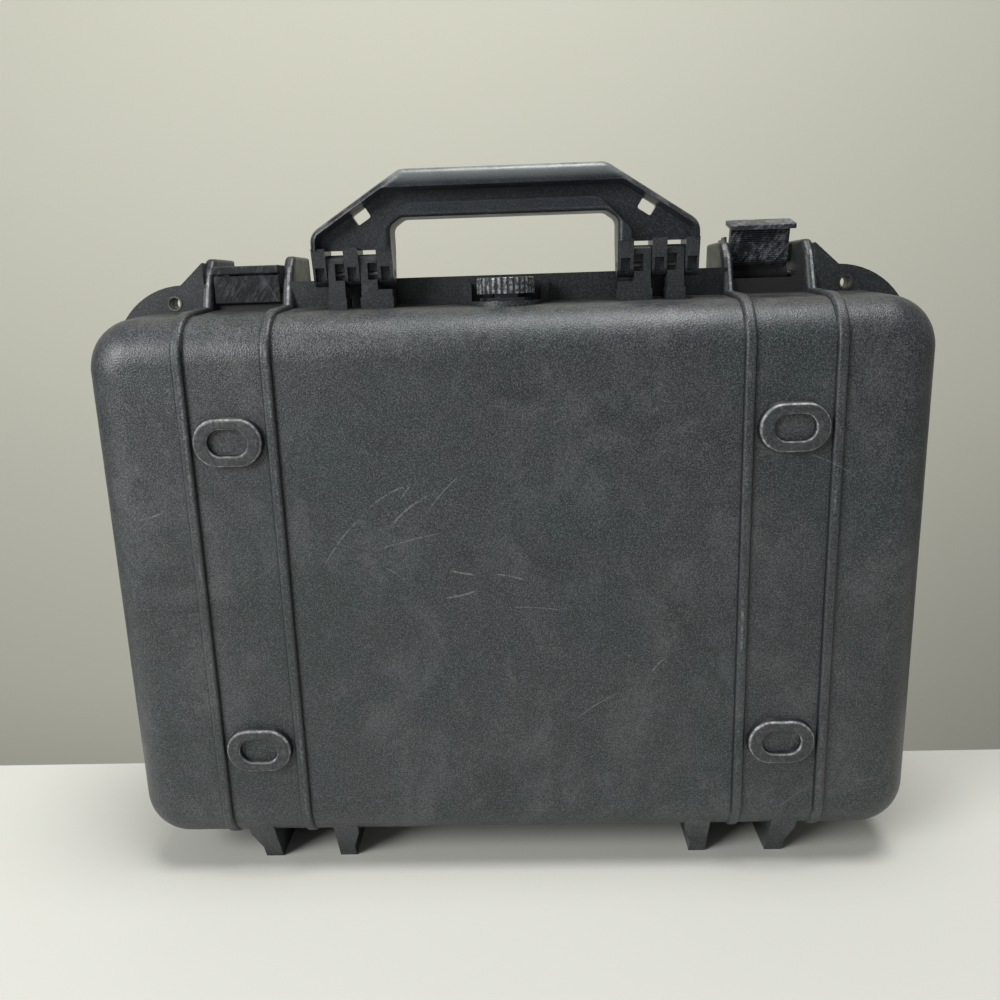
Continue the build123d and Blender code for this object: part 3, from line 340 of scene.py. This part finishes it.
def moulded_shell():
    """Charcoal structural plastic with a fine leather grain: greyed and mottled on its outer face,
    blacker behind it (cleaner plastic, and painted shade), rubbed along ribs, feet and guards, with
    painted shade on the feet's walls and deep in the latch bays, a painted highlight on the guards'
    fronts, dusty on top."""
    f = Finish("moulded_shell")
    outer = f.ahead(-38.0, -17.0)
    colour = clouded(f, outer)
    grain = f.noise(1350.0, 2.0, 0.60)
    colour = f.specks(colour, grain, (0.112, 0.122, 0.134), f.span(outer, 0.0, 1.0, 0.24, 0.55),
                      (0.004, 0.005, 0.006), f.span(outer, 0.0, 1.0, 0.40, 0.72))
    colour, lines = scratched(f, colour, outer)
    colour = wear_and_painted_light(f, colour)
    colour, dust_and_shade = dust_and_bay_shade(f, colour)
    rough = f.calc("ADD", f.span(f.noise(30.0, 4.0), 0.3, 0.7, 0.35, 0.46), f.times(dust_and_shade, 0.24))
    fade = f.span(outer, 0.0, 1.0, 0.35, 1.0)
    normal = f.relief(f.times(f.cells(1250.0), fade), 0.00016, 0.60)
    normal = f.relief(f.times(grain, fade), 0.00026, 0.70, normal)
    normal = f.relief(f.noise(22.0, 3.0), 0.0014, 0.12, normal)
    normal = f.relief(f.times(lines, -1.0), 0.00006, 0.4, normal)
    return f.finish(colour, rough, normal, Specular_IOR_Level=0.5)


# ------------------------------------------------------------ handle, latches, knob
def handle_nylon():
    """Bluish black nylon, smoother than the shells, paler along the top of the grip and on upward faces:
    wear, and painted light there.
    """
    f = Finish("handle_nylon")
    mottle = f.span(f.noise(30.0, 5.0, 0.65), 0.35, 0.68)
    colour = f.blend(mottle, (0.007, 0.009, 0.013), (0.014, 0.017, 0.022))
    grain = f.noise(1300.0, 2.0, 0.60)
    colour = f.specks(colour, grain, (0.075, 0.083, 0.096), 0.42, (0.003, 0.004, 0.005), 0.50)
    fine = f.highest(f.scratches(1300.0, 30.0, (0.0, 1.3, 0.0), 16.0, 0.42),
                     f.scratches(1400.0, 24.0, (0.0, -0.5, 0.2), 19.0, 0.40))
    colour = f.blend(f.times(fine, 0.28), colour, (0.130, 0.136, 0.140))
    # paler on upward faces and along the crown: partly wear, partly painted light where the top of the
    # handle catches it
    rub = f.times(f.span(f.noise(110.0, 5.0, 0.7), 0.34, 0.66), f.span(f.facing_z, 0.05, 0.80))
    crown = f.span(f.z, guard_top + 33.0 * MM, guard_top + 37.5 * MM)
    worn = f.times(f.calc("MULTIPLY_ADD", crown, 0.5, f.times(rub, 0.5)), 0.82)
    colour = f.blend(worn, colour, (0.215, 0.234, 0.230))
    rough = f.span(f.noise(40.0, 3.0), 0.3, 0.7, 0.28, 0.40)
    normal = f.relief(grain, 0.00018, 0.60)
    normal = f.relief(f.times(fine, -1.0), 0.00004, 0.4, normal)
    return f.finish(colour, rough, normal, Specular_IOR_Level=0.5)


def latch_resin():
    """Black glass-filled resin of the hooks and levers: painted shade on the shut latch's plate and round
    the hooks' pins, scuffed grey on the open latch, with brown dust on the flanks."""
    f = Finish("latch_resin")
    black, scuffed = (0.003, 0.004, 0.005), (0.240, 0.254, 0.282)
    mottle = f.span(f.noise(40.0, 5.0, 0.65), 0.35, 0.68)
    colour = f.blend(mottle, (0.008, 0.010, 0.014), (0.017, 0.020, 0.026))
    grain = f.noise(1350.0, 2.0, 0.60)
    colour = f.specks(colour, grain, (0.080, 0.088, 0.105), 0.42, black, 0.50)
    # the shut latch's front plate, darkened with painted shade
    plate = f.times(f.span(f.facing_y, -0.5, -0.9), f.span(f.x, 0.0, -10 * MM))
    slanted = f.stretch(1.0, 1.0, 6.0, (0.0, -0.5, 0.0))
    streak = f.times(f.span(f.noise(260.0, 3.0, 0.7, slanted), 0.54, 0.70), plate)
    # painted shade: the plate drawn near black
    colour = f.blend(f.times(plate, 0.85), colour, black)
    colour = f.blend(f.times(streak, 0.32), colour, (0.100, 0.112, 0.125))
    # the open latch's arm
    sideways = f.calc("ABSOLUTE", f.facing_x)
    behind_guard = f.ahead(-70.0, -76.0)
    thrown = f.times(behind_guard, f.over_rim(16.0, 20.0), f.span(sideways, 0.5, 0.2))
    crossed = f.stretch(1.0, 1.0, 5.0, (0.0, 0.55, 0.0))
    rubs = f.times(f.span(f.noise(700.0, 3.0, 0.7, crossed), 0.45, 0.60),
                   f.span(f.noise(90.0, 4.0, 0.7), 0.40, 0.60))
    colour = f.blend(f.times(rubs, f.span(thrown, 0.0, 1.0, 0.16, 0.85)), colour, scuffed)
    settled = f.times(f.span(sideways, 0.6, 0.95), f.span(f.noise(90.0, 5.0, 0.7), 0.40, 0.70))
    colour = f.blend(f.times(settled, 0.50), colour, (0.120, 0.096, 0.066))
    # painted shade round the hooks' pins, deep behind the guards
    pin_shade = f.times(f.over_rim(17.5, 14.5), behind_guard)
    colour = f.blend(f.times(pin_shade, 0.88), colour, BAY_SHADE)
    rough = f.span(f.noise(60.0, 3.0), 0.3, 0.7, 0.32, 0.46)
    rough = f.calc("ADD", rough, f.times(f.highest(pin_shade, plate), 0.36))
    normal = f.relief(grain, 0.00020, 0.55)
    return f.finish(colour, rough, normal, Specular_IOR_Level=0.38)


def knob_polish():
    """Glossy black valve knob, with dull hand marks and pale wear on the crests of its flutes."""
    f = Finish("knob_polish")
    mark = f.span(f.noise(90.0, 4.0, 0.6), 0.40, 0.68)
    colour = f.blend(mark, (0.012, 0.013, 0.015), (0.030, 0.033, 0.036))
    back = f.calc("SUBTRACT", f.y, face_y + valve_depth)
    radius = f.calc("SQRT", f.calc("ADD", f.times(f.x, f.x), f.times(back, back)))
    upper = f.span(f.facing_z, 0.3, 0.8)
    crest = f.times(f.span(radius, 15.5 * MM, 15.95 * MM), f.calc("SUBTRACT", 1.0, upper))
    worn = f.times(crest, f.span(f.noise(420.0, 3.0, 0.7), 0.40, 0.62))
    colour = f.blend(f.times(worn, 0.62), colour, (0.420, 0.430, 0.450))
    rough = f.calc("MULTIPLY_ADD", upper, 0.22, f.span(mark, 0.0, 1.0, 0.10, 0.24))
    normal = f.relief(f.noise(700.0, 2.0), 0.00004, 0.4)
    return f.finish(colour, rough, normal, Specular_IOR_Level=0.8, Coat_Weight=0.6, Coat_Roughness=0.08)


# ------------------------------------------------------------ steel, seal, foam, membrane
def turned_steel():
    """Darkened steel of pins and sleeves, with fine turning marks round their length: tarnish, and painted
    shade so the padlock sleeves read as dark holes.
    """
    f = Finish("turned_steel")
    marks = f.noise(4800.0, 3.0, 0.6, f.stretch(1.0, 7.0, 7.0))
    tarnish = f.span(f.noise(210.0, 4.0, 0.6), 0.44, 0.70)
    # the steel is drawn dark: tarnish in patches, and painted shade so the padlock sleeves read as dark
    # holes
    colour = f.blend(tarnish, (0.120, 0.120, 0.118), (0.055, 0.050, 0.044))
    rough = f.span(marks, 0.3, 0.7, 0.34, 0.56)
    normal = f.relief(marks, 0.00003, 0.5)
    return f.finish(colour, rough, normal, Metallic=1.0)


def seal_rubber():
    """Matt black seal cord with a faint bloom."""
    f = Finish("seal_rubber")
    bloom = f.span(f.noise(60.0, 4.0, 0.6), 0.42, 0.70)
    colour = f.blend(bloom, (0.012, 0.012, 0.012), (0.032, 0.031, 0.030))
    rough = f.span(bloom, 0.0, 1.0, 0.62, 0.80)
    normal = f.relief(f.noise(1400.0, 2.0), 0.00006, 0.4)
    return f.finish(colour, rough, normal)


def open_cell_foam():
    """Charcoal foam: round open cells of about a millimetre, with paler struts between them."""
    f = Finish("open_cell_foam")
    small = f.cells(1150.0)
    large = f.cells(560.0, f.stretch(1.0, 1.1, 0.9, (0.4, 0.2, 0.7)))
    struts = f.times(f.span(small, 0.10, 0.55), f.span(large, 0.05, 0.40, 0.6, 1.0))
    colour = f.blend(struts, (0.011, 0.011, 0.012), (0.062, 0.063, 0.066))
    lint = f.times(f.span(f.noise(14.0, 3.0), 0.4, 0.65), 0.25)
    colour = f.blend(lint, colour, (0.085, 0.082, 0.078))
    rough = f.span(f.noise(50.0, 2.0), 0.3, 0.7, 0.88, 0.98)
    normal = f.relief(struts, 0.0006, 0.8)
    return f.finish(colour, rough, normal, Specular_IOR_Level=0.12, Sheen_Weight=0.18, Sheen_Roughness=0.6)


def membrane_weave():
    """White breathing membrane of the valve, woven fine."""
    f = Finish("membrane_weave")
    warp = f.add("ShaderNodeTexWave", [f.place, 3600.0], bands_direction="X").outputs[1]
    weft = f.add("ShaderNodeTexWave", [f.place, 3600.0], bands_direction="Y").outputs[1]
    weave = f.highest(warp, weft)
    colour = f.blend(weave, (0.560, 0.550, 0.520), (0.720, 0.715, 0.695))
    rough = f.span(weave, 0.0, 1.0, 0.70, 0.85)
    return f.finish(colour, rough, f.relief(weave, 0.00005, 0.5))


finishes = {
    "shell": moulded_shell(),
    "handle_plastic": handle_nylon(),
    "latch_plastic": latch_resin(),
    "knob_plastic": knob_polish(),
    "steel": turned_steel(),
    "seal": seal_rubber(),
    "foam": open_cell_foam(),
    "membrane": membrane_weave(),
}
for part in frame["record"]["subparts"]:
    for place in frame["nodes"][part["node"]].material_slots:
        place.material = finishes[part["material_slot"]]


# ------------------------------------------------------------ foam pieces
def quads(index):
    """Four-sided faces between the neighbours in a grid of point numbers."""
    corners = [index[:-1, :-1], index[:-1, 1:], index[1:, 1:], index[1:, :-1]]
    return np.stack(corners, -1).reshape(-1, 4).tolist()


def closed(index):
    """A grid of point numbers whose rows are rings, with its first column again at the end."""
    return np.hstack([index, index[:, :1]])


def piece_of(name, points, faces, finish):
    """An object with one mesh, placed by its points alone."""
    mesh = bpy.data.meshes.new(name)
    mesh.from_pydata(points, [], faces)
    mesh.materials.append(finish)
    piece = bpy.data.objects.new(name, mesh)
    bpy.context.scene.collection.objects.link(piece)
    return piece


def rounded_loop(half_w, half_h, corner, count):
    """Points round a rectangle with quarter-circle corners, evenly spaced along its length, from the
    lower end of its right side: x, z, and the outward direction's x and z."""
    arc = np.pi * corner / 2
    flats = (2 * (half_h - corner), 2 * (half_w - corner)) * 2
    reaches = (half_w, half_h) * 2
    s = np.linspace(0, sum(flats) + 4 * arc, count, endpoint=False)
    x, z, nx, nz = (np.zeros(count) for _ in range(4))
    start = 0.0
    for turn, (flat, reach) in enumerate(zip(flats, reaches)):
        a = turn * np.pi / 2
        out = np.array([[np.cos(a)], [np.sin(a)]])
        along = np.array([[-np.sin(a)], [np.cos(a)]])
        on = (s >= start) & (s < start + flat)
        x[on], z[on] = out * reach + along * (s[on] - start - flat / 2)
        nx[on], nz[on] = out * np.ones(on.sum())
        start += flat
        on = (s >= start) & (s < start + arc)
        b = a + (s[on] - start) / corner
        centre_x = (half_w - corner) * np.sign(np.cos(a + np.pi / 4))
        centre_z = (half_h - corner) * np.sign(np.sin(a + np.pi / 4))
        x[on], z[on] = centre_x + corner * np.cos(b), centre_z + corner * np.sin(b)
        nx[on], nz[on] = np.cos(b), np.sin(b)
        start += arc
    return x, z, nx, nz


def laptop_bed():
    """Foam block with the laptop's bay: rings of rounded rectangles carried along a profile that
    starts under the block, climbs its outside, rolls over the rim and drops to the bay's floor.
    Finger scoops push the bay's rings out, and the valve's notch pushes the outer rings in: both by a
    depth over one plus the exponential of how far x is past the scoop's end, measured in its soft
    length."""
    low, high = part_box("base_foam")
    half_w, half_h = (high[0] - low[0]) / 2, (high[2] - low[2]) / 2
    front, deep = high[1], low[1]
    bay_half_w, bay_half_h = 196.0 * MM, 131.0 * MM
    draft = 1.0 - 0.5 * MM / half_w
    scoop_w, scoop_soft, scoop_deep = 40 * MM, 2.2 * MM, 11.6 * MM
    notch_w, notch_soft, notch_deep = 18.5 * MM, 0.6 * MM, 12.6 * MM
    count = 720
    # rings from the underside to the rim: inset from the outside in mm, y in metres, corner in mm
    outside = [(60, deep, 9), (24, deep, 9), (10, deep + 0.6 * MM, 12), (4.2, deep + 5 * MM, 16),
               (2.6, deep + 12 * MM, 20), (2.0, deep + 24 * MM, 24), (1.2, front - 14 * MM, 25),
               (0.8, front - 4 * MM, 25), (1.2, front - 1.2 * MM, 25), (3.0, front - 0.1 * MM, 24),
               (9.0, front, 20)]
    # and from the rim to the bay's floor: inset from the bay's wall, y and corner in the same units
    inside = [(-5.0, front, 15), (-1.4, front - 0.4 * MM, 13), (-0.2, front - 2.4 * MM, 12.2),
              (0.0, front - 8 * MM, 12), (0.3, front - 18 * MM, 12), (0.6, front - 28 * MM, 12),
              (1.0, front - 35 * MM, 11), (3.0, front - 37.6 * MM, 10), (8.0, front - 38 * MM, 9),
              (60.0, front - 38.2 * MM, 6)]
    rings = []
    for inset, y, corner in outside:
        x, z, _, nz = rounded_loop(half_w * draft - inset * MM, half_h * draft - inset * MM,
                                   corner * MM, count)
        ahead = np.clip((y - (face_y + 24 * MM)) / (1.5 * MM), 0, 1)
        notch = notch_deep * ahead / (1 + np.exp((np.abs(x) - notch_w) / notch_soft))
        z = z - np.where((nz > 0.7) & (z > half_h - 14 * MM), notch, 0)
        rings.append(np.stack([x, np.full(count, y), middle_z + z], -1))
    for inset, y, corner in inside:
        x, z, _, nz = rounded_loop(bay_half_w - inset * MM, bay_half_h - inset * MM,
                                   corner * MM, count)
        ahead = np.clip((y - (front - 31 * MM)) / (3 * MM), 0, 1)
        scoop = scoop_deep * ahead / (1 + np.exp((np.abs(x) - scoop_w) / scoop_soft))
        z = z + np.where(np.abs(nz) > 0.7, np.sign(nz) * scoop, 0)
        rings.append(np.stack([x, np.full(count, y), middle_z + z], -1))
    points = np.array(rings)[:, ::-1]
    index = np.arange(len(rings) * count).reshape(len(rings), count)
    faces = quads(closed(index)) + [index[0, ::-1].tolist(), index[-1].tolist()]
    bed = piece_of("laptop_bed", points.reshape(-1, 3).tolist(), faces, finishes["foam"])
    bed.data.shade_smooth()
    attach(bed, "base")
    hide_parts("base_foam")


def round_plan(x, z, half_w, half_h, corner):
    """Pull the corners of a rectangular grid in to quarter circles: past a corner's centre both
    overshoots are scaled by the larger of them over the length of the two together."""
    over_x = np.clip(np.abs(x) - (half_w - corner), 0, None) / corner
    over_z = np.clip(np.abs(z) - (half_h - corner), 0, None) / corner
    round_in = np.maximum(over_x, over_z) / np.hypot(over_x, over_z + 1e-9)
    pull = np.where((over_x > 0) & (over_z > 0), round_in, 1.0)
    x = np.sign(x) * (np.clip(np.abs(x), None, half_w - corner) + corner * over_x * pull)
    z = np.sign(z) * (np.clip(np.abs(z), None, half_h - corner) + corner * over_z * pull)
    return x, z


def border(grid):
    """The outermost entries of a grid, once round."""
    return np.concatenate([grid[:-1, 0], grid[-1, :-1], grid[:0:-1, -1], grid[0, :0:-1]])


def egg_crate_pad():
    """Lid pad of convoluted foam. Its front lies behind its peaks by their height times one less the
    product of two raised cosines of x and z, fading to a flat border whose lip turns back in a
    quarter circle; its sides run from the border back into the lid."""
    low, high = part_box("lid_foam")
    half_w, half_h = (high[0] - low[0]) / 2, (high[2] - low[2]) / 2
    front_y = low[1] + 0.3 * MM
    columns, rows = 260, 176
    peaks_x, peaks_z, peak_h = 15, 10, 13.0 * MM
    corner, lip_r = 26.0 * MM, 2.2 * MM
    u = np.linspace(-1, 1, columns)[:, None]
    v = np.linspace(-1, 1, rows)[None, :]
    x, z = round_plan(*np.broadcast_arrays(u * half_w, v * half_h), half_w, half_h, corner)
    waves_x = 1 + np.cos(np.pi * peaks_x * x / half_w)
    waves_z = 1 + np.cos(np.pi * peaks_z * z / half_h)
    bumps = waves_x * waves_z / 4
    edge = np.minimum((1 - np.abs(u)) * half_w, (1 - np.abs(v)) * half_h)
    fade = np.clip((edge - 6 * MM) / (9 * MM), 0, 1)
    fade = fade * fade * (3 - 2 * fade)
    lip = np.clip(edge / lip_r, 0, 1)
    y = front_y + peak_h * fade * (1 - bumps) + lip_r * (1 - np.sqrt(1 - (1 - lip) ** 2))
    front = np.stack([x, y, middle_z + z], -1)
    # rings behind the border in millimetres: inset from the border, distance behind the front
    steps = [(0.0, 2.2), (0.0, 12.0), (0.0, 19.0), (1.0, 25.0),
             (4.5, 31.0), (10.5, 35.4), (16.0, 36.7), (60.0, 36.8)]
    ring = border(front)
    rings = []
    for inset, back in steps:
        row = ring.copy()
        row[:, 0] *= 1 - inset * MM / half_w
        row[:, 1] = front_y + back * MM
        row[:, 2] = middle_z + (row[:, 2] - middle_z) * (1 - inset * MM / half_h)
        rings.append(row)
    grid = np.arange(columns * rows).reshape(columns, rows)
    behind = grid.size + np.arange(len(rings) * len(ring)).reshape(len(rings), -1)
    loops = np.vstack([border(grid), behind])
    faces = quads(grid.T) + quads(closed(loops).T) + [loops[-1].tolist()]
    points = np.vstack([front.reshape(-1, 3), *rings]).tolist()
    pad = piece_of("egg_crate_pad", points, faces, finishes["foam"])
    pad.data.shade_smooth()
    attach(pad, "lid")
    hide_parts("lid_foam")


laptop_bed()
egg_crate_pad()


# ------------------------------------------------------------ stage
def board_finish(name, low, high, scale):
    """Matt board with a faint cloud between two tones."""
    f = Finish(name)
    cloud = f.noise(scale, 3.0, 0.5)
    return f.finish(f.blend(cloud, low, high), f.span(cloud, 0.3, 0.7, 0.75, 0.85))


def slab(name, x0, x1, y0, y1, z0, z1, finish):
    """A plain stage board between two corners."""
    corners = [(x, y, z) for z in (z0, z1) for y in (y0, y1) for x in (x0, x1)]
    faces = [(0, 2, 3, 1), (4, 5, 7, 6), (0, 1, 5, 4), (2, 6, 7, 3), (0, 4, 6, 2), (1, 3, 7, 5)]
    piece_of(name, corners, faces, finish)


def soft_lamp(name, place, target, size, power):
    """A round area lamp aimed at target."""
    lamp = bpy.data.lights.new(name, "AREA")
    lamp.shape = "DISK"
    lamp.size = size
    lamp.energy = power
    way = np.array(place) - np.array(target)
    way = way / np.linalg.norm(way)
    side = np.cross((0.0, 0.0, 1.0), way)
    side = side / np.linalg.norm(side)
    up = np.cross(way, side)
    turn = Matrix((side.tolist(), up.tolist(), way.tolist())).transposed().to_4x4()
    holder = bpy.data.objects.new(name, lamp)
    holder.matrix_world = Matrix.Translation(place) @ turn
    bpy.context.scene.collection.objects.link(holder)


slab("table_top", -3.0, 3.0, -3.0, 0.0785, -0.04, 0.0,
     board_finish("pale_board", (0.520, 0.520, 0.478), (0.545, 0.545, 0.503), 2.0))
slab("backdrop", -5.0, 5.0, 1.35, 1.40, -3.0, 4.0,
     board_finish("pale_wall", (0.566, 0.560, 0.472), (0.585, 0.578, 0.490), 1.0))

world = bpy.data.worlds.new("studio")
bpy.context.scene.world = world
world.use_nodes = True
sky = world.node_tree.nodes["Background"]
sky.inputs["Color"].default_value = (0.95, 0.98, 1.0, 1.0)
sky.inputs["Strength"].default_value = 0.20

case_low_middle = (0.0, 0.0, 0.2)
soft_lamp("window", (-1.45, -1.35, 1.15), case_low_middle, 1.1, 46.0)
soft_lamp("ceiling", (0.2, -0.3, 2.3), case_low_middle, 1.0, 43.0)

# ------------------------------------------------------------ camera
eye_place = (9.36 * MM, face_y - 466.49 * MM, stand + 317.76 * MM)
yaw, pitch, roll = 0.03227, -0.23316, 0.03271

view = bpy.data.cameras.new("view")
view.sensor_width = 36.0
view.lens = 32.044
view.clip_start = 0.02
view.clip_end = 30.0
eye = bpy.data.objects.new("view", view)
# an unturned camera looks straight down, so it is first raised to look along +Y
raised = Matrix.Rotation(np.pi / 2, 4, "X")
aim = Matrix.Rotation(yaw, 4, "Z") @ Matrix.Rotation(pitch, 4, "X") @ Matrix.Rotation(roll, 4, "Y")
eye.matrix_world = Matrix.Translation(eye_place) @ aim @ raised
bpy.context.scene.collection.objects.link(eye)
bpy.context.scene.camera = eye
bpy.context.scene.view_settings.view_transform = "Standard"
